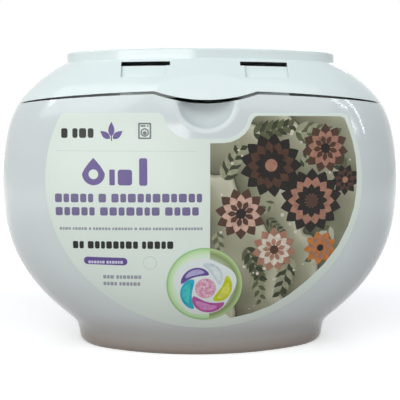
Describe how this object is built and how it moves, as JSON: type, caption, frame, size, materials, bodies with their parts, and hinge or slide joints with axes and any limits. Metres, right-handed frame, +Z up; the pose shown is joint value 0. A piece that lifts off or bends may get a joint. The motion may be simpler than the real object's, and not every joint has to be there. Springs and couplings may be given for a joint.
{
  "type": "laundry pod tub",
  "caption": "Wide oval plastic tub on a narrow foot, filled with laundry pods, with a domed rear-hinged lid, a finger scoop and two child-lock press tabs.",
  "frame": {"origin": "middle of the foot's resting face, at the bottom centre of the bounding box", "axes": "+X to the right seen from the front, +Y to the rear hinge, +Z up; the labelled front faces -Y"},
  "size_m": [0.226, 0.1213, 0.1627],
  "materials": {
    "tub_plastic": "glossy white polyethylene with a faint lavender tint",
    "lid_plastic": "glossy white polypropylene",
    "collar_plastic": "satin white polypropylene",
    "tab_plastic": "satin white polypropylene",
    "label_film": null,
    "pod_film": "clear soluble film over coloured gel chambers"
  },
  "bodies": {
    "tub_body": {"tub": "tub_plastic", "front_label": "label_film", "collar": "collar_plastic", "pod_01": "pod_film", "pod_02": "pod_film", "pod_03": "pod_film", "pod_04": "pod_film", "pod_05": "pod_film", "pod_06": "pod_film", "pod_07": "pod_film", "pod_08": "pod_film", "pod_09": "pod_film", "pod_10": "pod_film", "pod_11": "pod_film", "pod_12": "pod_film", "pod_13": "pod_film", "pod_14": "pod_film", "pod_15": "pod_film", "pod_16": "pod_film", "pod_17": "pod_film", "pod_18": "pod_film", "pod_19": "pod_film", "pod_20": "pod_film", "pod_21": "pod_film", "pod_22": "pod_film", "pod_23": "pod_film", "pod_24": "pod_film", "pod_25": "pod_film", "pod_26": "pod_film", "pod_27": "pod_film", "pod_28": "pod_film", "pod_29": "pod_film", "pod_30": "pod_film", "pod_31": "pod_film", "pod_32": "pod_film", "pod_33": "pod_film", "pod_34": "pod_film", "pod_35": "pod_film", "pod_36": "pod_film", "pod_37": "pod_film", "pod_38": "pod_film", "pod_39": "pod_film", "pod_40": "pod_film"},
    "lid_body": {"lid": "lid_plastic"},
    "left_tab_body": {"left_press_tab": "tab_plastic"},
    "right_tab_body": {"right_press_tab": "tab_plastic"}
  },
  "joints": [
    {"name": "lid_hinge", "type": "hinge", "parent": "tub_body", "child": "lid_body", "pos_m": [0, 0.0543, 0.1415], "axis": [-1, 0, 0], "range_deg": [0, 110]},
    {"name": "left_tab_press", "type": "hinge", "parent": "tub_body", "child": "left_tab_body", "pos_m": [-0.0319, -0.0444, 0.1424], "axis": [-1, 0, 0], "range_deg": [0, 12], "stiffness_Nm_per_rad": 0.3, "springref_deg": -2.86},
    {"name": "right_tab_press", "type": "hinge", "parent": "tub_body", "child": "right_tab_body", "pos_m": [0.0319, -0.0444, 0.1424], "axis": [-1, 0, 0], "range_deg": [0, 12], "stiffness_Nm_per_rad": 0.3, "springref_deg": -2.86}
  ]
}
